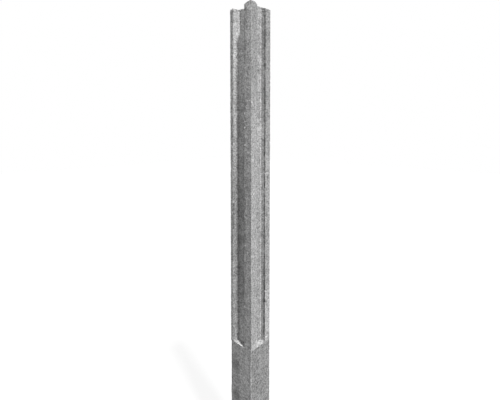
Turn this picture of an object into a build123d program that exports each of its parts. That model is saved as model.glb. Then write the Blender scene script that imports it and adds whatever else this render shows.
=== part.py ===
"""Precast concrete corner fence post with a panel groove in each of two adjacent faces.

The post is one casting. Its foot is a plain square block that goes in the ground. Above the
foot a groove runs up to the top in the front face (-Y) and another in the side face (+X), so
that two runs of fence panels meet at a right angle. Between the two grooves stands the nose,
whose arris is the vertical edge at (+X, -Y). Each groove ends at the bottom in a shoulder that
carries the lowest panel, and has walls that lean outwards, so that the mould's core can be
drawn. The side core was the shallower one, and its plate also set the nose's side face back a
little, which runs out to the foot in a bevel.

Units are millimetres. The origin is the middle of the foot's underside, with +Z up.
"""

from build123d import *

import os
from math import atan2, degrees, hypot

# Whole post
SIDE = 125.0  # both sides of the square section
LENGTH = 2100.0  # from the foot's underside to the top
FOOT = 620.0  # plain foot below the front shoulder

# Front groove, measured on the front face from the nose arris
FRONT_NOSE = 40.5  # to the near mouth of the groove
FRONT_MOUTH = 67.5  # width at the face
FRONT_DEPTH = 30.0
FRONT_LEAN = 9.5  # how far each wall comes in between mouth and root
FRONT_ROOT_RADIUS = 7.0

# Side groove, measured on the side face from the nose arris
SIDE_NOSE = 41.0
SIDE_MOUTH = 49.0
SIDE_DEPTH = 22.0
SIDE_LEAN = 4.0
SIDE_ROOT_RADIUS = 3.0
SIDE_SHOULDER_STEP = 4.0  # how much higher the side shoulder was cast

# Both shoulders
SHOULDER_RISE = 2.0  # each climbs this much from the mouth to the root

# Nose's side face
SETBACK_AT_ARRIS = 0.4  # behind the foot's side face, at the nose arris
SETBACK_AT_MOUTH = 2.5  # and at the mouth of the side groove
BEVEL_HEIGHT = 30.0  # of the run-out to the foot, at the mouth

# Edges
ARRIS_RADIUS = 1.5  # the outer corners of the square
LIP_RADIUS = 1.0  # the mouths of the grooves
END_CHAMFER = 0.8  # round the top and the underside

HALF = SIDE / 2
OVERSHOOT = 20.0  # how far a cutting shape reaches beyond the surface that it cuts

# Plan views: x runs from the nose arris along the face, and y runs into the concrete
FRONT_FACE = Plane(origin=(HALF, -HALF, 0), x_dir=(-1, 0, 0), z_dir=(0, 0, -1))
SIDE_FACE = Plane(origin=(HALF, -HALF, 0), x_dir=(0, 1, 0), z_dir=(0, 0, 1))


def upright(face, outline, bottom):
    """A plan outline on one face's plane, run from the given height to past the top."""
    raised = Pos(0, 0, bottom) * (face * outline)
    return extrude(raised, amount=LENGTH + OVERSHOOT - bottom, dir=(0, 0, 1))


def sloping_block(face, height, rise, run):
    """Everything below a plane that starts on the face at a height and climbs rise in run."""
    inwards = face.y_dir
    along = face.y_dir.cross(Vector(0, 0, 1))
    slope = Plane(origin=face.origin + Vector(0, 0, height), x_dir=along, z_dir=(0, 0, 1))
    if slope.y_dir.dot(inwards) < 0:
        slope = Plane(origin=slope.origin, x_dir=along * -1, z_dir=(0, 0, 1))
    tilt = degrees(atan2(rise, run))
    block = Box(4 * SIDE, 4 * SIDE, 4 * SIDE, align=(Align.CENTER, Align.CENTER, Align.MAX))
    return slope.location * (Rot(X=tilt) * block)


def groove_core(face, near, mouth, depth, lean, root_radius, shoulder):
    """What the mould's core keeps free of concrete: one tapered groove above its shoulder."""
    far = near + mouth
    outer = lean * OVERSHOOT / depth
    outline = Polygon(
        (near - outer, -OVERSHOOT),
        (near + lean, depth),
        (far - lean, depth),
        (far + outer, -OVERSHOOT),
        align=None,
    )
    root_corners = outline.vertices().group_by(Axis.Y)[-1]
    outline = fillet(root_corners, root_radius)
    core = upright(face, outline, shoulder - OVERSHOOT)
    return core - sloping_block(face, shoulder, SHOULDER_RISE, depth)


def nose_plate():
    """The thin wedge that the side core's plate takes off the nose's side face."""
    slope = (SETBACK_AT_MOUTH - SETBACK_AT_ARRIS) / SIDE_NOSE
    end = SIDE_NOSE + SETBACK_AT_MOUTH  # inside the groove, where nothing is left to cut
    outline = Polygon(
        (-OVERSHOOT, -OVERSHOOT),
        (-OVERSHOOT, SETBACK_AT_ARRIS - slope * OVERSHOOT),
        (end, SETBACK_AT_ARRIS + slope * end),
        (end, -OVERSHOOT),
        align=None,
    )
    plate = upright(SIDE_FACE, outline, FOOT)
    bevel = sloping_block(SIDE_FACE, FOOT, BEVEL_HEIGHT, SETBACK_AT_MOUTH)
    return plate - bevel


def on_side_face(distance, depth):
    """Plan position of a point given by its place along the side face and its depth."""
    point = SIDE_FACE.from_local_coords(Vector(distance, depth, 0))
    return (point.X, point.Y)


def on_front_face(distance, depth):
    point = FRONT_FACE.from_local_coords(Vector(distance, depth, 0))
    return (point.X, point.Y)


def upright_edges(shape, places):
    """The edges parallel to Z that stand at one of the given plan positions."""
    near_enough = 0.05
    found = []
    for edge in shape.edges().filter_by(Axis.Z):
        middle = edge.center()
        if any(hypot(middle.X - x, middle.Y - y) < near_enough for x, y in places):
            found.append(edge)
    return found


def concrete_post():
    block = extrude(Rectangle(SIDE, SIDE), amount=LENGTH)
    post = block - nose_plate()
    post -= groove_core(
        FRONT_FACE, FRONT_NOSE, FRONT_MOUTH, FRONT_DEPTH, FRONT_LEAN, FRONT_ROOT_RADIUS, FOOT
    )
    side_shoulder = FOOT + SIDE_SHOULDER_STEP
    post -= groove_core(
        SIDE_FACE, SIDE_NOSE, SIDE_MOUTH, SIDE_DEPTH, SIDE_LEAN, SIDE_ROOT_RADIUS, side_shoulder
    )

    mouths = [
        on_front_face(FRONT_NOSE, 0),
        on_front_face(FRONT_NOSE + FRONT_MOUTH, 0),
        on_side_face(SIDE_NOSE + SIDE_MOUTH, 0),
    ]
    post = fillet(upright_edges(post, mouths), LIP_RADIUS)
    rear_corners = [(-HALF, -HALF), (-HALF, HALF), (HALF, HALF)]
    post = fillet(upright_edges(post, rear_corners), ARRIS_RADIUS)

    flat_ends = post.faces().group_by(Axis.Z)
    return chamfer(flat_ends[0].edges() + flat_ends[-1].edges(), END_CHAMFER)


os.makedirs("parts", exist_ok=True)
export_step(concrete_post(), "parts/concrete_post.step")
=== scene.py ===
# %% [markdown]
# # A precast concrete corner fence post
# The real post is one casting. Wet concrete is shaken down in a steel mould, and two cores in the
# mould leave a panel groove in each of two faces. Its form is already exact in the solid that the
# frame holds, so this lesson is about what the mould and the years add to it: worn arrises, a top
# that was struck off by hand, air holes, sand, stains and dust.

# %% Load the frame
import bpy
import bmesh
import math
import random

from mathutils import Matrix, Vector


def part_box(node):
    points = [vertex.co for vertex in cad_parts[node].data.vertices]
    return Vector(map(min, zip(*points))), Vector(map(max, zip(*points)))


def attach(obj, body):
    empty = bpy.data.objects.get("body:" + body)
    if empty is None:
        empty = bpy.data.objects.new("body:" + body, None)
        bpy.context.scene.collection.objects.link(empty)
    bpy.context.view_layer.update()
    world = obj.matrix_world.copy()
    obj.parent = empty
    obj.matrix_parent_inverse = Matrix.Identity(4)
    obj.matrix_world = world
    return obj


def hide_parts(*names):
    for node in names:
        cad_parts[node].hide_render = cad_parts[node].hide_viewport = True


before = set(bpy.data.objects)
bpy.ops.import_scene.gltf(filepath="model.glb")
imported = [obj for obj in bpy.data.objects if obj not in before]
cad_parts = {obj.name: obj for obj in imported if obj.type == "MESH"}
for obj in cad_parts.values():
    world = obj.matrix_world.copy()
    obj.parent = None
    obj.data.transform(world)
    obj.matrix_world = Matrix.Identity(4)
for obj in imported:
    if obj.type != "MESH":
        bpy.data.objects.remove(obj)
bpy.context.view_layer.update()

MM = 0.001
SHOULDER = 620 * MM  # where the plain foot ends
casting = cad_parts["concrete_post"]
low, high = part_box("concrete_post")
print("casting reaches from", tuple(round(c, 4) for c in low), "to", tuple(round(c, 4) for c in high))

# %% [markdown]
# The camera comes first, because it says which faces matter. The photograph was taken from close
# by with a wide lens, level with the upper part of the post. That is why the flat top looks like a
# V from below and the shoulders of the grooves look like a V from above. The camera was tipped down
# only a little, and the picture was cut below the middle of the lens, so the view has a small shift.

# %% Camera
PHOTO_WIDTH = 500  # pixels
FOCAL_PIXELS = 323.2
SENSOR = 36.0  # the width that a lens length refers to, in millimetres
PICTURE_SHIFT = -0.0944
CAMERA_AZIMUTH = math.radians(42.95)  # 0 looks along +Y, and 90 along -X
CAMERA_TILT = math.radians(2.98)  # down from the horizontal
CAMERA_HEIGHT = 1.5431  # metres, like the next two
ARRIS_DISTANCE = 1.3367  # level distance from the lens to the nose arris
ARRIS_OFFSET = 0.0045  # how far the nose arris stands to the right of the view's middle

camera_right = Vector((math.cos(CAMERA_AZIMUTH), math.sin(CAMERA_AZIMUTH), 0))
camera_ahead = Vector((-math.sin(CAMERA_AZIMUTH), math.cos(CAMERA_AZIMUTH), 0))
nose_arris = Vector((high.x, low.y, 0))

bpy.ops.object.camera_add()
camera = bpy.context.object
camera.name = "photo_camera"
camera.data.sensor_width = SENSOR
camera.data.lens = FOCAL_PIXELS / PHOTO_WIDTH * SENSOR
camera.data.shift_y = PICTURE_SHIFT
camera.location = nose_arris - camera_right * ARRIS_OFFSET - camera_ahead * ARRIS_DISTANCE
camera.location.z = CAMERA_HEIGHT
camera.rotation_euler = (math.pi / 2 - CAMERA_TILT, 0, CAMERA_AZIMUTH)
bpy.context.scene.camera = camera
print("lens", round(camera.data.lens, 2), "mm, camera at", tuple(round(c, 3) for c in camera.location))

# %% [markdown]
# Every operator works on whatever is selected, and the frame comes in selected, so each step first
# makes its own object the only one.

# %% Helper for selecting
def only(piece):
    """Makes one object the active and only selected one."""
    bpy.ops.object.select_all(action="DESELECT")
    piece.select_set(True)
    bpy.context.view_layer.objects.active = piece


# %% [markdown]
# The detailed casting starts as a copy of the solid, so every wall, shoulder and radius is where
# the frame has it. The copy's triangles are merged and dissolved into whole faces. Then straight
# cuts divide them: level cuts every few millimetres up the post, and upright ones across each face.
# Small square faces bend and chip evenly, which long thin triangles can't.

# %% Copy the casting and cut it into small faces
ROW_STEP = 5 * MM
COLUMN_STEP = 7.8 * MM
CLEAR_OF_EDGES = 1.2 * MM  # a cut nearer than this to an upright edge would leave a sliver
MERGE = 0.01 * MM
SLIVER = 0.2 * MM  # points nearer than this to each other are merged after the cuts
FLAT = math.radians(0.5)  # faces that turn less than this against each other become one
UPRIGHT_RISE = 100 * MM  # an edge that rises more than this is an upright one

post = bpy.data.objects.new("post_casting", casting.data.copy())
bpy.context.scene.collection.objects.link(post)
only(post)
bpy.ops.object.mode_set(mode="EDIT")
bpy.ops.mesh.select_all(action="SELECT")
bpy.ops.mesh.remove_doubles(threshold=MERGE)
bpy.ops.mesh.dissolve_limited(angle_limit=FLAT)


def upright_places(piece, axis):
    """Where along X or Y the upright edges stand."""
    mesh = bmesh.from_edit_mesh(piece.data)
    places = set()
    for edge in mesh.edges:
        a, b = (vertex.co for vertex in edge.verts)
        if abs(a.z - b.z) > UPRIGHT_RISE:
            places.add(round(a[axis], 6))
    return sorted(places)


def cut_places(start, end, step, keep_clear_of=()):
    """Evenly spaced places between two ends, without those too near an edge."""
    count = round((end - start) / step)
    evenly = [start + (end - start) * i / count for i in range(1, count)]
    return [c for c in evenly if all(abs(c - edge) > CLEAR_OF_EDGES for edge in keep_clear_of)]


def cut_across(axis, places):
    """Cuts the whole selected mesh by planes square to one axis."""
    normal = Vector((0, 0, 0))
    normal[axis] = 1
    for place in places:
        bpy.ops.mesh.select_all(action="SELECT")
        bpy.ops.mesh.bisect(plane_co=normal * place, plane_no=normal)


for axis in (0, 1):
    own_edges = upright_places(post, axis)
    cut_across(axis, cut_places(low[axis], high[axis], COLUMN_STEP, own_edges))
cut_across(2, cut_places(low.z, high.z, ROW_STEP))
bpy.ops.mesh.select_all(action="SELECT")
bpy.ops.mesh.remove_doubles(threshold=SLIVER)
bpy.ops.object.mode_set(mode="OBJECT")
print("cut into", len(post.data.polygons), "faces")

# %% [markdown]
# The top was struck off with a board while the concrete was wet, so it isn't flat. Every vertex of
# it is let down first, and then dragged to its height at a few places with proportional editing,
# which carries the neighbours along in a soft falloff. The heights are the ones that the outline in
# the photograph gives, and none of them is above the solid's own top.

# %% Strike off the top unevenly
TOP_DROP = 11 * MM
TOP_DROP_REACH = 60 * MM
TOP_ZONE = 33 * MM  # below the solid's top, where a vertex can be part of the rough one
TOP_NORMAL = 0.3  # and how much it faces up, at least
TOP_HEIGHTS = (
    # along the front face and into it from the nose arris, below the solid's top, reach
    (1.5, 1.5, 3.2, 20),
    (25, 2, 6.8, 16),
    (4, 24, 4.2, 18),
    (69, 34, 14.5, 22),
    (90, 34, 12.5, 20),
    (104, 14, 12.0, 12),
    (113, 2, 14.6, 12),
    (26, 80, 4.5, 26),
    (16, 92, 9.0, 12),
    (3, 95, 14.6, 14),
    (3, 116, 13.8, 14),
    (80, 90, 8.0, 44),
)
TOP_ROUNDS = 4  # the places lie close together, so each is set again after its neighbours


def on_top(vertex):
    return vertex.normal.z > TOP_NORMAL and vertex.co.z > high.z - TOP_ZONE


def pick_top(piece, chosen=None):
    """In edit mode, selects the top's vertices or the one nearest a place, and gives a height."""
    bpy.ops.mesh.select_mode(type="VERT")
    bpy.ops.mesh.select_all(action="DESELECT")
    mesh = bmesh.from_edit_mesh(piece.data)
    found = [vertex for vertex in mesh.verts if on_top(vertex)]
    if chosen:
        found = [min(found, key=lambda vertex: (vertex.co.xy - chosen).length)]
    for vertex in found:
        vertex.select = True
    mesh.select_flush(True)
    bmesh.update_edit_mesh(piece.data)
    return found[0].co.z


def lift(amount, reach):
    """Moves the selection up or down, with its neighbours following within a reach."""
    bpy.ops.transform.translate(
        value=(0, 0, amount),
        use_proportional_edit=True,
        proportional_edit_falloff="SMOOTH",
        proportional_size=reach,
    )


only(post)
bpy.ops.object.mode_set(mode="EDIT")
pick_top(post)
lift(-TOP_DROP, TOP_DROP_REACH)
for _ in range(TOP_ROUNDS):
    for along, into, below, reach in TOP_HEIGHTS:
        place = Vector((high.x - along * MM, low.y + into * MM))
        height = pick_top(post, place)
        lift(high.z - below * MM - height, reach * MM)
bpy.ops.object.mode_set(mode="OBJECT")
print("top set at", len(TOP_HEIGHTS), "places")

# %% [markdown]
# No cast face is a true plane, and no arris stays whole. Displace modifiers with cloud textures
# press the surface in by fractions of a millimetre, and by a little more along the arrises, where a
# vertex group lets them. All of it goes inwards, so the post never grows past its solid.

# %% Wear the faces and the arrises
FRONT_MOUTHS = (40.5, 108)  # the mouths of each groove, in millimetres from the nose arris
SIDE_MOUTHS = (41, 90)
ARRIS_REACH = 4 * MM
WEAR = (
    # name, size of the clouds in millimetres, detail, ramp, depth in millimetres, vertex group
    ("soft faces", 70, 1, None, 0.5, ""),
    ("sandy faces", 8, 1, (0.3, 0.7), 0.8, ""),
    ("worn arrises", 26, 2, (0.45, 0.75), 0.7, "arrises"),
    ("nibbled arrises", 9, 1, (0.5, 0.8), 0.7, "arrises"),
)
RUBBED_CORNER = 1.6 * MM  # of the foot, at the left in the photograph, along X and along Y
RUBBED_REACH = 12 * MM


def cloud(name, size, depth, ramp=None):
    """A cloud texture, sharpened by a ramp when only its peaks should count."""
    texture = bpy.data.textures.new(name, "CLOUDS")
    texture.noise_scale = size
    texture.noise_depth = depth
    if ramp:
        texture.use_color_ramp = True
        start, end = texture.color_ramp.elements
        start.position, start.color = ramp[0], (0, 0, 0, 1)
        end.position, end.color = ramp[1], (1, 1, 1, 1)
    return texture


def press_in(piece, texture, depth, group="", direction="NORMAL"):
    """Applies a Displace modifier that only ever moves the surface one way."""
    only(piece)
    modifier = piece.modifiers.new(texture.name, "DISPLACE")
    modifier.texture = texture
    modifier.texture_coords = "LOCAL"
    modifier.direction = direction
    modifier.mid_level = 0
    modifier.strength = -depth
    modifier.vertex_group = group
    bpy.ops.object.modifier_apply(modifier=modifier.name)


# The arrises stand at the post's corners and at the mouths of its grooves
corners = [Vector((x, y)) for x in (low.x, high.x) for y in (low.y, high.y)]
front_mouths = [Vector((high.x - along * MM, low.y)) for along in FRONT_MOUTHS]
side_mouths = [Vector((high.x, low.y + along * MM)) for along in SIDE_MOUTHS]
arris_places = corners + front_mouths + side_mouths

arris_group = post.vertex_groups.new(name="arrises")
for vertex in post.data.vertices:
    nearest = min((vertex.co.xy - place).length for place in arris_places)
    ends = min(vertex.co.z - low.z, high.z - vertex.co.z)
    weight = 1 - min(nearest, ends + ARRIS_REACH / 2) / ARRIS_REACH
    if weight > 0:
        arris_group.add([vertex.index], weight, "REPLACE")

foot_corner = post.vertex_groups.new(name="foot corner")
for vertex in post.data.vertices:
    away = (vertex.co.xy - low.xy).length
    weight = 1 - away / RUBBED_REACH
    if weight > 0 and vertex.co.z < SHOULDER:
        foot_corner.add([vertex.index], weight, "REPLACE")

for name, size, detail, ramp, depth, group in WEAR:
    press_in(post, cloud(name, size * MM, detail, ramp), depth * MM, group)

# The rubbed corner is the lowest in X and in Y, so a push towards +X and +Y goes inwards there
rubbing = cloud("rubbed corner", 120 * MM, 0, (0, 0.3))
for direction in "XY":
    press_in(post, rubbing, -RUBBED_CORNER, "foot corner", direction)
print("faces and arrises worn")

# %% [markdown]
# Air that was trapped against the mould leaves round holes a few millimetres wide, and knocks
# take shallow scoops out of the arrises. Both are small balls, stretched for the scoops, and all of
# them are joined and cut out of the post with one Boolean modifier. The larger ones stand where the
# photograph shows them. The rest come from a seeded draw, so they are the same in every run.

# %% Air holes and chips
HOLE_SEED = 11
HOLES_PER_FACE = 40
HOLE_RADIUS = (1.2 * MM, 3.0 * MM)
HOLE_SHARE = (0.5, 1)  # each hole keeps this share of the radius drawn for it
HOLE_SINK = (0.3, 0.7)  # how deep its middle lies, as a share of its radius
HOLE_INSET = 6 * MM  # how far the holes keep from the corners and the underside
HOLE_BELOW_TOP = 30 * MM
SEEN_HOLES = (
    # place in millimetres, and radius: the left lip, the nose's side face, the right lip
    ((-45, -61.5, 2074), 2.6),
    ((-46, -61.5, 2027), 3.2),
    ((-50, -61.5, 1970), 2.8),
    ((60, -24, 1324), 3.2),
    ((60, -24, 917), 3.0),
    ((60, -25, 847), 3.4),
    ((60, -25, 778), 2.8),
    ((61.5, 52, 1988), 3.2),
    ((61.5, 52, 1968), 2.6),
    ((61.5, 44, 1361), 3.6),
    ((61.5, 49, 1356), 2.6),
)
CHIPS_PER_ARRIS = 6
CHIP_RADIUS = (4 * MM, 9 * MM)
CHIP_DEPTH = (0.8 * MM, 2.0 * MM)
CHIP_STRETCH = (1, 2.2)
SEEN_CHIP_STRETCH = 1.3
SEEN_CHIPS = (
    # place on an arris, radius and depth, all in millimetres
    # nose arris
    ((62.0, -62.5, 1690), 9, 1.8),
    ((62.0, -62.5, 1306), 8, 1.6),
    ((62.0, -62.5, 2058), 6, 1.0),
    # the nose's other two top corners
    ((22.0, -62.5, 2092), 5, 1.0),
    ((60.0, -21.5, 2094), 6, 1.6),
    # upper end of the left arris, where the scoops run into each other
    ((-62.5, -62.5, 2091), 6, 2.2),
    ((-62.5, -62.5, 2064), 20, 2.4),
    ((-62.5, -62.5, 2038), 20, 2.2),
    ((-62.5, -62.5, 2012), 20, 2.0),
    ((-62.5, -62.5, 1985), 20, 1.7),
    # top of the right arris, and the far mouth of the side groove
    ((62.5, 62.5, 2092), 6, 2.0),
    ((62.5, 28.0, 856), 6, 2.2),
)
SMOOTH_BELOW = math.radians(38)

draw = random.Random(HOLE_SEED)


def hole_places():
    """The air holes: where each ball stands, its radius and its stretch."""
    holes = [(Vector(place) * MM, radius * MM, 1) for place, radius in SEEN_HOLES]
    for face in range(4):
        for _ in range(HOLES_PER_FACE):
            across = draw.uniform(low.x + HOLE_INSET, high.x - HOLE_INSET)
            height = draw.uniform(low.z + HOLE_INSET, high.z - HOLE_BELOW_TOP)
            radius = draw.uniform(*HOLE_RADIUS) * draw.uniform(*HOLE_SHARE)
            sink = radius * draw.uniform(*HOLE_SINK)
            spots = (
                (across, low.y + sink),
                (across, high.y - sink),
                (low.x + sink, across),
                (high.x - sink, across),
            )
            holes.append((Vector((*spots[face], height)), radius, 1))
    return holes


def chip(place, radius, depth, stretch):
    """A ball that stands outside an arris and reaches a little way into it."""
    outwards = Vector((math.copysign(1, place.x), math.copysign(1, place.y), 0)).normalized()
    return place + outwards * (radius - depth), radius, stretch


def chip_places():
    """The chips, in the same form as the holes: those that show first, and then the drawn ones."""
    chips = []
    for place, radius, depth in SEEN_CHIPS:
        chips.append(chip(Vector(place) * MM, radius * MM, depth * MM, SEEN_CHIP_STRETCH))
    for arris in arris_places:
        for _ in range(CHIPS_PER_ARRIS):
            place = Vector((arris.x, arris.y, draw.uniform(low.z, high.z)))
            radius = draw.uniform(*CHIP_RADIUS)
            depth = draw.uniform(*CHIP_DEPTH)
            chips.append(chip(place, radius, depth, draw.uniform(*CHIP_STRETCH)))
    return chips


def cut_balls(piece, balls):
    """Cuts a joined set of small balls out of a piece."""
    made = []
    for place, radius, stretch in balls:
        bpy.ops.mesh.primitive_ico_sphere_add(
            subdivisions=2, radius=radius, location=place, scale=(1, 1, stretch)
        )
        made.append(bpy.context.object)
    bpy.ops.object.select_all(action="DESELECT")
    for ball in made:
        ball.select_set(True)
    bpy.context.view_layer.objects.active = made[0]
    bpy.ops.object.join()
    cutter = bpy.context.object
    only(piece)
    modifier = piece.modifiers.new("balls", "BOOLEAN")
    modifier.object = cutter
    modifier.operation = "DIFFERENCE"
    modifier.solver = "MANIFOLD"
    bpy.ops.object.modifier_apply(modifier=modifier.name)
    bpy.data.objects.remove(cutter)


balls = hole_places() + chip_places()
cut_balls(post, balls)
only(post)
bpy.ops.object.shade_smooth_by_angle(angle=SMOOTH_BELOW)
post.data.calc_loop_triangles()
print("cut", len(balls), "holes and chips, and the post has", len(post.data.loop_triangles), "triangles")

# %% [markdown]
# Shader maths reads best as arithmetic. This small class wraps a socket, so that `1 - mask` adds
# the Math node for it. Every other node comes from one method, which sets the node's own settings
# first and then fills its sockets with values or links.

# %% Shader helpers
RAMP_WHITE = 2  # the factor that white stands for in a ramp of factors


class Value:
    """A number or colour that changes over a surface: one output socket of a node."""

    def __init__(self, socket):
        self.socket = socket

    def _math(self, operation, first, second):
        finish = Finish.of[self.socket.id_data]
        return finish.node("Math", {"operation": operation}, {0: first, 1: second})

    def __add__(self, other):
        return self._math("ADD", self, other)

    def __radd__(self, other):
        return self._math("ADD", other, self)

    def __sub__(self, other):
        return self._math("SUBTRACT", self, other)

    def __rsub__(self, other):
        return self._math("SUBTRACT", other, self)

    def __mul__(self, other):
        return self._math("MULTIPLY", self, other)

    def __rmul__(self, other):
        return self._math("MULTIPLY", other, self)


class Finish:
    """The nodes of a material or of the world, with the shader that they feed."""

    of = {}  # the finish that each node tree belongs to

    def __init__(self, owner, shader):
        owner.use_nodes = True
        self.tree = owner.node_tree
        self.shader = self.tree.nodes[shader]
        self.coordinates = None
        Finish.of[self.tree] = self

    @property
    def place(self):
        """The place on the object, from one node that everything shares."""
        if self.coordinates is None:
            self.coordinates = self.node("TexCoord", {}, {}, "Object")
        return self.coordinates

    def node(self, kind, settings, inputs, output=0):
        """Adds one node, with its settings first and then its sockets, and wraps an output."""
        made = self.tree.nodes.new("ShaderNode" + kind)
        for name, setting in settings.items():
            if name == "stops":
                self._stops(made.color_ramp, setting)
            else:
                setattr(made, name, setting)
        self.fill(made, inputs)
        return Value(made.outputs[output])

    def fill(self, node, inputs):
        """Gives a node's sockets their values, or a link where a wrapped socket is given."""
        for name, given in inputs.items():
            if isinstance(given, Value):
                self.tree.links.new(given.socket, node.inputs[name])
            else:
                node.inputs[name].default_value = given

    def _stops(self, ramp, stops):
        while len(ramp.elements) < len(stops):
            ramp.elements.new(1)
        for element, (position, level) in zip(ramp.elements, stops):
            element.position = position
            element.color = (level, level, level, 1)

    def grey(self, level):
        """A colour with the same level in all three channels."""
        return self.node("CombineColor", {}, {"Red": level, "Green": level, "Blue": level})

    def noise(self, size, detail=2, stretch=(1, 1, 1), turn=(0, 0, 0), shift=0):
        """Noise from 0 to 1 with features of one size. A shift sets it apart from the others."""
        moved = self.node(
            "Mapping",
            {"vector_type": "TEXTURE"},
            {"Vector": self.place, "Location": (shift, shift, shift), "Rotation": turn, "Scale": stretch},
        )
        return self.node("TexNoise", {}, {"Vector": moved, "Scale": 1 / size, "Detail": detail})

    def step(self, value, start, end):
        """0 below the start and 1 above the end, or the other way round if they are swapped."""
        flip = start > end
        bounds = {"From Min": min(start, end), "From Max": max(start, end)}
        eased = self.node("MapRange", {"interpolation_type": "SMOOTHSTEP"}, {"Value": value, **bounds})
        return 1 - eased if flip else eased

    def part(self, vector, letter):
        """One coordinate of a vector."""
        return self.node("SeparateXYZ", {}, {0: vector}, letter)

    def between(self, value, start, end, soft):
        """1 between two places and 0 outside them, with soft ends."""
        rise = self.step(value, start - soft, start + soft)
        return rise * self.step(value, end + soft, end - soft)

    def near(self, centre, radius, core=0.3):
        """0 beyond a radius of one place, and 1 within the core, which is a share of it."""
        away = self.node("VectorMath", {"operation": "DISTANCE"}, {0: self.place, 1: centre}, "Value")
        return self.step(away, radius, radius * core)

    def up_the_post(self, height, stops):
        """A factor that changes with height, from stops in millimetres above the underside."""
        share = height * (1 / high.z)
        ramp = [(stop / (high.z / MM), factor / RAMP_WHITE) for stop, factor in stops]
        return self.node("ValToRGB", {"stops": ramp}, {"Fac": share}) * RAMP_WHITE


# %% [markdown]
# Dry concrete is a light neutral grey. Seen close, it is sand and cement: a fine grain, dark specks
# where grains and pinholes show, and pale bloom. From further away it has blotches, and streaks
# that run down with the rain. Each face of the mould gave its own tone too, so each has a factor
# that changes up the post. Some factors are painted light and shade: near the top, the front
# groove's far wall and floor are painted lighter where the nose's shadow falls on them, the wall
# partly as bloom too; the floor beside the nose gets painted shade; and the corner strip and the
# nose's mouth are painted lighter where their rounding turns from the lamp, the mouth partly as
# wear too. The far wall of the side groove is dirty at its mouth, and both shoulders look almost
# white.

# %% Tones of the faces
ZONE_EDGE = 1.5 * MM
FACE_TONES = (
    # across X, across Y, and stops of height in millimetres with their factors
    # front face beside the far corner: the whole of it, and the strip at the corner itself
    (
        (-62.5, -46.5),
        (-70, -60),
        ((600, 0.96), (850, 0.93), (960, 0.83), (1170, 0.81), (1380, 0.93), (1600, 0.94), (1850, 0.9)),
    ),
    # corner strip: painted light, lighter near the top where the worn corner turns from the lamp
    (
        (-70, -59),
        (-70, -55),
        ((1500, 1.0), (1850, 1.12), (2060, 1.2)),
    ),
    # front of the foot
    (
        (-41, -5),
        (-70, -60),
        ((600, 0.88), (2060, 0.88)),
    ),
    # front groove: far wall, floor, and the floor beside the nose
    # far wall: paler near the top, partly as bloom and partly as painted light that lifts the nose's
    # shadow there
    (
        (-45.5, -36),
        (-59, -30),
        ((640, 0.84), (1250, 0.8), (1500, 1.03), (1780, 1.18), (1870, 1.4), (2010, 1.38), (2060, 1.24)),
    ),
    # floor: painted lighter near the top, painted light that lifts the nose's shadow there
    (
        (-36, 13),
        (-36, -30),
        ((640, 1.3), (850, 0.92), (1280, 0.93), (1700, 1.2), (1900, 1.45), (2000, 1.42), (2060, 0.95)),
    ),
    # floor beside the nose: painted shade, darker where it lies in the nose's shadow
    (
        (-12, 14),
        (-36, -28),
        ((640, 0.95), (900, 0.86), (1300, 0.85), (1500, 0.9), (1900, 1.0)),
    ),
    # nose: front face, its mouth, the strip beside the arris, and the side face
    (
        (22, 62.5),
        (-70, -60),
        ((600, 1.01), (640, 0.87), (1300, 0.84), (1480, 1.01), (1900, 1.04), (1980, 1.18)),
    ),
    # nose's mouth: paler, partly as wear and partly as painted light on its rounding, which turns from
    # the lamp
    (
        (19, 24),
        (-66, -58),
        ((600, 1.0), (640, 1.3), (1000, 1.25), (1500, 1.15), (1900, 1.0), (1960, 0.88)),
    ),
    (
        (53, 60.5),
        (-66, -61.3),
        ((600, 1.04), (640, 0.88), (1600, 0.9), (1750, 1.0)),
    ),
    (
        (55, 70),
        (-60, -21),
        ((640, 0.97), (1280, 1.03), (1560, 1.1), (1750, 0.88), (2000, 0.87), (2060, 0.8)),
    ),
    # side groove: floor and far wall
    (
        (38, 43),
        (-18, 23),
        ((640, 0.92), (1400, 0.97), (1500, 1.11), (1900, 1.0), (2000, 1.12), (2060, 1.05)),
    ),
    (
        (42, 60),
        (22, 29),
        ((640, 0.8), (900, 0.97), (1300, 1.0), (1600, 1.07), (1750, 0.82), (2000, 0.9)),
    ),
    # side face beside the far corner
    (
        (60, 70),
        (29, 62.5),
        ((640, 1.1), (850, 1.1), (900, 0.88), (1400, 0.96), (1700, 0.84), (1980, 0.88), (2050, 1.0)),
    ),
)


def face_tone(finish, x, y, z):
    """The factor of the face that a point is on, and 1 elsewhere."""
    tone = 1
    for across_x, across_y, stops in FACE_TONES:
        inside = finish.between(x, across_x[0] * MM, across_x[1] * MM, ZONE_EDGE)
        inside = inside * finish.between(y, across_y[0] * MM, across_y[1] * MM, ZONE_EDGE)
        tone = tone + inside * (finish.up_the_post(z, stops) - 1)
    return tone


print(len(FACE_TONES), "zones have a tone of their own")

# %% [markdown]
# The sand comes in several sizes of noise. Each is taken around its middle value, so it makes the
# tone lighter as much as darker. The streaks are noise too, stretched along the post.

# %% Sand and specks
FINE_SIZE = 3.2 * MM
GRAIN_SIZE = 6 * MM
LIGHT_GRAIN = (0.36, 0.64)  # where the noise of the grain turns from dark to light
MOTTLE_SIZE = 13 * MM
BLOTCH_SIZE = 55 * MM
STREAK_SIZE = 9 * MM
STREAK_STRETCH = (1, 1, 14)
SAND_DEPTHS = {"fine": 1.3, "salt": 0.55, "mottle": 0.8, "blotch": 0.5, "streak": 0.45}
SPECK_SPACING = 11 * MM
SPECK_EDGE = (0.24, 0.12)  # from clear to dark, as shares of the spacing
CLUMP_SIZE = 17 * MM
CLUMP_EDGE = (0.48, 0.56)


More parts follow.
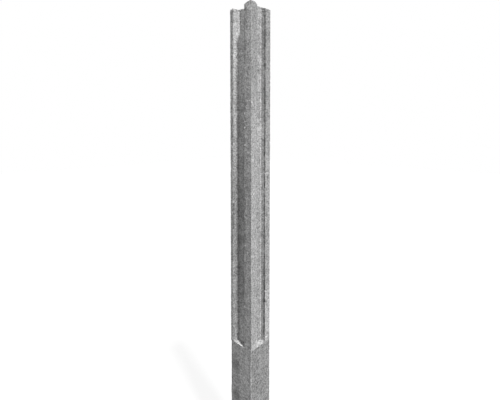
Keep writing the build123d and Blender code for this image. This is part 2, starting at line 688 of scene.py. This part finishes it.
def sand_tone(finish, fine, salt, mottle):
    """The factor of the sand, its blotches and the streaks of the rain."""
    blotch = finish.noise(BLOTCH_SIZE, 3, shift=7)
    streak = finish.noise(STREAK_SIZE, stretch=STREAK_STRETCH, shift=11)
    noises = {"fine": fine, "salt": salt, "mottle": mottle, "blotch": blotch}
    tone = 1
    for name, noise in noises.items():
        tone = tone + (noise - 0.5) * SAND_DEPTHS[name]
    return tone * (1 + (streak - 0.5) * SAND_DEPTHS["streak"])


def dark_specks(finish):
    """1 on small round specks that stand in loose clumps."""
    cell = {"Vector": finish.place, "Scale": 1 / SPECK_SPACING, "Randomness": 1}
    away = finish.node("TexVoronoi", {}, cell, "Distance")
    clumps = finish.step(finish.noise(CLUMP_SIZE, 1, shift=5), *CLUMP_EDGE)
    return finish.step(away, *SPECK_EDGE) * clumps


# %% [markdown]
# The foot is darker than the rest. Its side face looks cast against a rougher board: it has
# slanting strokes, which the photograph shows below a clean line.

# %% Foot
STROKE_SIZE = 4 * MM
STROKE_STRETCH = (1, 1, 3)
STROKE_TURN = (math.radians(-48), 0, 0)
STROKE_DEPTH = 0.9
FOOT_DARK = 0.13
FOOT_SIDE_DARK = 0.17  # how much darker still its side face is
# a painted highlight along the foot's front arris, where its rounding catches the lamp
FOOT_ARRIS_HIGHLIGHT = 0.7
FOOT_EDGE = (SHOULDER + 1 * MM, SHOULDER - 2 * MM)
FOOT_RAGGED = 4 * MM  # how much that edge wanders
NOSE_ARRIS_X = (58 * MM, 70 * MM)
NOSE_ARRIS_Y = (-70 * MM, -60 * MM)


def foot_mask(finish, z):
    """1 on the foot, with a slightly ragged upper edge."""
    ragged = (finish.noise(GRAIN_SIZE, shift=2) - 0.5) * FOOT_RAGGED
    return finish.step(z + ragged, *FOOT_EDGE)


def foot_tone(finish, x, y, foot, side, stroke):
    """The factor of the foot, with a painted highlight only along its front arris."""
    strokes = 1 + foot * side * (stroke - 0.5) * STROKE_DEPTH
    # the pale arris is a painted highlight, where the rounded arris catches the lamp
    arris = finish.between(x, *NOSE_ARRIS_X, ZONE_EDGE) * finish.between(y, *NOSE_ARRIS_Y, ZONE_EDGE)
    darker = 1 - foot * (FOOT_DARK + side * FOOT_SIDE_DARK)
    return darker * strokes * (1 + foot * arris * FOOT_ARRIS_HIGHLIGHT)


# %% [markdown]
# The front shoulder is paler, partly dust and partly painted light that lifts the nose's shadow on
# it, and the nose's bevel is paler too. The light alone makes the side shoulder a little too pale, so
# that one gets painted shade instead. The struck-off top faces the sky, and what faces up near it is
# darker.

# %% Ledges and the top
LEDGE_HEIGHTS = (SHOULDER - 0.5 * MM, SHOULDER + 6.5 * MM)
LEDGE_SOFT = 0.7 * MM
FRONT_LEDGE_X = (-45 * MM, 19 * MM)
FRONT_LEDGE_Y = (-28 * MM, -31 * MM)  # from the post's inside out, like the next one
SIDE_LEDGE_X = (39 * MM, 42 * MM)
SIDE_LEDGE_Y = (-20 * MM, 26 * MM)
# the front shoulder's paling is partly dust and partly painted light that lifts the nose's shadow on it
FRONT_LEDGE_PALE = 0.05
# painted shade on the side shoulder, which the light alone makes too pale
SIDE_LEDGE_DARK = 0.06
BEVEL_PALE = 0.18
BEVEL_Y = (-59 * MM, -20 * MM)
BEVEL_RUN = 20 * MM  # the height of its upper line at the arris
BEVEL_CLIMB = 0.35  # how much that line climbs on the way to the groove
TOP_FACING = (0.75, 0.95)
TOP_FROM = (high.z - 32 * MM, high.z - 26 * MM)
TOP_DARK = 0.42


def ledge_dust_and_painted_light(finish, x, y, z, foot, side):
    """How much lighter the front shoulder, partly as painted light, and the nose's bevel are, and how
    much painted shade darkens the side shoulder.
    """
    ledge = finish.between(z, *LEDGE_HEIGHTS, LEDGE_SOFT)
    in_front = finish.between(x, *FRONT_LEDGE_X, 1 * MM) * finish.step(y, *FRONT_LEDGE_Y)
    in_side = finish.step(x, *SIDE_LEDGE_X) * finish.between(y, *SIDE_LEDGE_Y, 1 * MM)
    upper_line = SHOULDER + BEVEL_RUN + (y - low.y) * BEVEL_CLIMB
    bevel = side * finish.between(y, *BEVEL_Y, 2.5 * MM) * (1 - foot)
    bevel = bevel * finish.step(z - upper_line, 2 * MM, -2 * MM)
    return ledge * in_front * FRONT_LEDGE_PALE - ledge * in_side * SIDE_LEDGE_DARK + bevel * BEVEL_PALE


def top_facing_up(finish, z):
    """1 on what faces up near the top of the post."""
    normal = finish.node("TexCoord", {}, {}, "Normal")
    upward = finish.step(finish.part(normal, "Z"), *TOP_FACING)
    return upward * finish.step(z, *TOP_FROM)


# %% [markdown]
# The marks that make this post itself come last: pale worn places on the nose arris, dirt in a
# broken line along the mouth of the side groove, a dark hairline across the front groove, the
# stains on the foot, and painted shade at the larger air holes.

# %% Dirt, hairline and single marks
DIRT_WIDTH = 2.6 * MM
DIRT_WIDENING = ((640, 0.5), (1000, 0.9), (1450, 0.9), (1600, 1.7), (2060, 1.9))
DIRT_STRENGTH = ((640, 1.5), (870, 1.5), (950, 1.0), (2060, 1.0))
DIRT_INNER_Y = (23 * MM, 25 * MM)
DIRT_OUTER_Y = (28.5 * MM, 26.5 * MM)  # from clear to dark, and further out by the line's width
DIRT_X = (54.5 * MM, 57.5 * MM)
DIRT_LEAST = 0.28
DIRT_MORE = 0.24  # where the broken line is whole
DIRT_BREAKS = 30 * MM
DIRT_BREAK_EDGE = (0.4, 0.55)
HAIRLINE = 1656 * MM  # the height of the dark line across the front groove
HAIRLINE_HALF = 2 * MM
HAIRLINE_SOFT = 1.2 * MM
HAIRLINE_BENDS = 25 * MM
HAIRLINE_WANDER = 9 * MM
HAIRLINE_X = (-44 * MM, 34 * MM)
HAIRLINE_Y = (-20 * MM, -28 * MM)
HAIRLINE_DARK = 0.42
PALE_MARKS = (
    # place and radius in millimetres, and how much lighter: the nose, then the right lip
    ((60, -58, 1687), 20, 0.22),
    ((61, -50, 1295), 14, 0.32),
    ((61, -60, 2060), 9, 0.15),
    ((26, -62, 800), 16, 0.15),
    ((62, 44, 1937), 9, 0.3),
    ((62, 42, 641), 10, 0.35),
)
DARK_MARKS = (
    # place and radius in millimetres, and how much darker; those at the air holes are painted shade
    # left lip: painted shade at its air holes
    ((-45, -62, 2076), 7, 0.35),
    ((-46, -62, 2027), 7, 0.4),
    ((-50, -62, 1970), 8, 0.3),
    # floor of the front groove
    ((-22, -32, 1928), 24, 0.15),
    ((-28, -32, 1085), 30, 0.22),
    # the nose's side face, painted shade at its air holes, and the side groove
    ((60, -22, 1324), 7, 0.35),
    ((60, -20, 917), 8, 0.35),
    ((60, -23, 847), 8, 0.35),
    ((60, -23, 778), 7, 0.3),
    ((42, 16, 1436), 8, 0.3),
    ((45, 25, 1104), 14, 0.3),
    # far wall of the side groove, and the right lip, painted shade at its air holes
    ((60, 27, 1957), 11, 0.3),
    ((60, 27, 1849), 10, 0.35),
    ((56, 27, 1748), 9, 0.35),
    ((56, 28, 806), 15, 0.4),
    ((62, 52, 1980), 10, 0.35),
    ((62, 45, 1361), 10, 0.45),
    # foot
    ((-33, -62, 515), 34, 0.38),
    ((-49, -62, 540), 14, 0.2),
    ((-10, -62, 455), 18, 0.2),
    ((-27, -62, 377), 36, 0.38),
    ((62, -17, 552), 14, 0.18),
    ((61, -42, 575), 12, 0.15),
)


def groove_dirt(finish, x, y, z, foot):
    """A broken line of dirt along the far mouth of the side groove, wider near the top."""
    width = finish.up_the_post(z, DIRT_WIDENING) * DIRT_WIDTH
    rim = finish.step(y, *DIRT_INNER_Y) * finish.step(y - width, *DIRT_OUTER_Y)
    mouth = finish.step(x, *DIRT_X) * rim
    broken = finish.step(finish.noise(DIRT_BREAKS, shift=17), *DIRT_BREAK_EDGE)
    strength = finish.up_the_post(z, DIRT_STRENGTH)
    return mouth * (DIRT_LEAST + broken * DIRT_MORE) * strength * (1 - foot)


def dark_hairline(finish, x, y, z):
    """1 on a thin wandering line across the front groove and the nose beside it."""
    bent = z + (finish.noise(HAIRLINE_BENDS, shift=19) - 0.5) * HAIRLINE_WANDER
    line = finish.between(bent, HAIRLINE - HAIRLINE_HALF, HAIRLINE + HAIRLINE_HALF, HAIRLINE_SOFT)
    return line * finish.between(x, *HAIRLINE_X, 3 * MM) * finish.step(y, *HAIRLINE_Y)


def single_marks(finish):
    """How much lighter or darker the marks are that stand at their own places."""
    marks = 0
    for place, radius, share in PALE_MARKS:
        marks = marks + finish.near(Vector(place) * MM, radius * MM) * share
    for place, radius, share in DARK_MARKS:
        marks = marks - finish.near(Vector(place) * MM, radius * MM) * share
    return marks


print(len(PALE_MARKS), "pale and", len(DARK_MARKS), "dark marks stand at their own places")

# %% [markdown]
# The finish is the base grey times all these factors. The single marks are strongest on the light
# grains, so they look rubbed into the sand. The same noises also raise and sink the surface in the
# bump, so that the specks are pits and the sand stands out.

# %% Concrete finish
BASE_GREY = 0.453
# the specks' darkness is partly dark grains and partly painted shade in the pinholes
SPECK_DARK = 0.45
SPECK_SIDE_DARK = 0.25  # how much darker the specks are on the side face
SIDE_FACE_X = (50 * MM, 60 * MM)
MARKS_BETWEEN_GRAINS = 0.3
ROUGHNESS = 0.86
ROUGHNESS_SPREAD = 0.12
SHEEN = 0.25
FINE_RISE = 0.5
SALT_RISE = 0.5
MOTTLE_RISE = 0.6
SPECK_PIT = 0.9
BUMP_STRENGTH = 0.8
BUMP_DISTANCE = 1.2 * MM


def concrete_finish():
    material = bpy.data.materials.new("grey concrete")
    finish = Finish(material, "Principled BSDF")
    x, y, z = (finish.part(finish.place, letter) for letter in "XYZ")

    fine = finish.noise(FINE_SIZE)
    grain = finish.noise(GRAIN_SIZE, shift=3)
    salt = finish.step(grain, *LIGHT_GRAIN)
    mottle = finish.noise(MOTTLE_SIZE, shift=5)
    stroke = finish.noise(STROKE_SIZE, stretch=STROKE_STRETCH, turn=STROKE_TURN, shift=13)
    speck = dark_specks(finish)
    foot = foot_mask(finish, z)
    side = finish.step(x, *SIDE_FACE_X)

    level = BASE_GREY * sand_tone(finish, fine, salt, mottle) * face_tone(finish, x, y, z)
    level = level * foot_tone(finish, x, y, foot, side, stroke)
    level = level * (1 + ledge_dust_and_painted_light(finish, x, y, z, foot, side))
    level = level * (1 - top_facing_up(finish, z) * TOP_DARK)
    level = level * (1 - groove_dirt(finish, x, y, z, foot))
    level = level * (1 - speck * (SPECK_DARK + side * SPECK_SIDE_DARK))
    marks = single_marks(finish) - dark_hairline(finish, x, y, z) * HAIRLINE_DARK
    level = level * (1 + marks * (salt + MARKS_BETWEEN_GRAINS))

    height = fine * FINE_RISE + salt * SALT_RISE + mottle * MOTTLE_RISE - speck * SPECK_PIT
    height = height + foot * side * stroke
    bump = {"Strength": BUMP_STRENGTH, "Distance": BUMP_DISTANCE, "Height": height}
    finish.fill(
        finish.shader,
        {
            "Base Color": finish.grey(level),
            "Roughness": ROUGHNESS + (grain - 0.5) * ROUGHNESS_SPREAD,
            "Normal": finish.node("Bump", {}, bump, "Normal"),
            "Specular IOR Level": SHEEN,
        },
    )
    return material


post.data.materials.clear()
post.data.materials.append(concrete_finish())
print("finish has", len(post.data.materials[0].node_tree.nodes), "nodes")

# %% [markdown]
# The light is plain. One lamp high on the right reaches both visible faces and throws the nose's
# shadow into the front groove. A softer one behind the post shows only on the rear faces and the
# top. An even pale surround fills the shadows. The floor is pale too. The camera sees the floor and
# the surround as near white, and the post's shadow stays.

# %% Light, floor and surround
LAMPS = (
    # name, degrees to the right of the camera, degrees of height, strength, and softness in degrees
    ("high_lamp", 31, 63, 4.03, 5),
    ("back_lamp", 188, 35, 2.0, 25),
)
SURROUND = 0.3  # how strongly it lights the post, where the camera sees 1
FLOOR_SIZE = 30
FLOOR_GREY = 0.25  # as the post sees it
FLOOR_SEEN = 0.8  # as the camera sees it, under a glow that makes it white
FLOOR_GLOW = 0.85


def add_lamp(name, bearing, height, strength, softness):
    """A sun that stands at a bearing to the right of the camera, and at a height."""
    level_way = camera_right * math.sin(bearing) - camera_ahead * math.cos(bearing)
    from_lamp = level_way * math.cos(height) + Vector((0, 0, math.sin(height)))
    bpy.ops.object.light_add(type="SUN", rotation=from_lamp.to_track_quat("Z", "Y").to_euler())
    lamp = bpy.context.object
    lamp.name = name
    lamp.data.energy = strength
    lamp.data.angle = softness


def pale_floor():
    """White to the camera except for the shadow, and a plain grey to everything else."""
    material = bpy.data.materials.new("pale floor")
    finish = Finish(material, "Principled BSDF")
    seen = finish.node("LightPath", {}, {}, "Is Camera Ray")
    level = FLOOR_GREY + seen * (FLOOR_SEEN - FLOOR_GREY)
    finish.fill(finish.shader, {"Base Color": finish.grey(level), "Roughness": 0.9})
    glow = finish.node("Emission", {}, {"Color": (1, 1, 1, 1), "Strength": 1})
    surface = Value(finish.shader.outputs[0])
    both = finish.node("MixShader", {}, {0: seen * FLOOR_GLOW, 1: surface, 2: glow})
    finish.fill(finish.tree.nodes["Material Output"], {"Surface": both})
    return material


def white_surround():
    """White to the camera, and a dimmer white to everything else."""
    world = bpy.data.worlds.new("pale surround")
    finish = Finish(world, "Background")
    seen = finish.node("LightPath", {}, {}, "Is Camera Ray")
    strength = SURROUND + seen * (1 - SURROUND)
    finish.fill(finish.shader, {"Color": (1, 1, 1, 1), "Strength": strength})
    return world


for name, bearing, height, strength, softness in LAMPS:
    add_lamp(name, math.radians(bearing), math.radians(height), strength, math.radians(softness))

bpy.ops.mesh.primitive_plane_add(size=FLOOR_SIZE, location=(0, 0, 0))
floor = bpy.context.object
floor.name = "floor"
floor.data.materials.append(pale_floor())
bpy.context.scene.world = white_surround()
print("lamps at", [lamp[1] for lamp in LAMPS], "degrees from the camera")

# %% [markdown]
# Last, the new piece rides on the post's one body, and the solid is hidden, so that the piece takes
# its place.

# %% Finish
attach(post, "root")
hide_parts("concrete_post")

bpy.context.scene.view_settings.view_transform = "Standard"
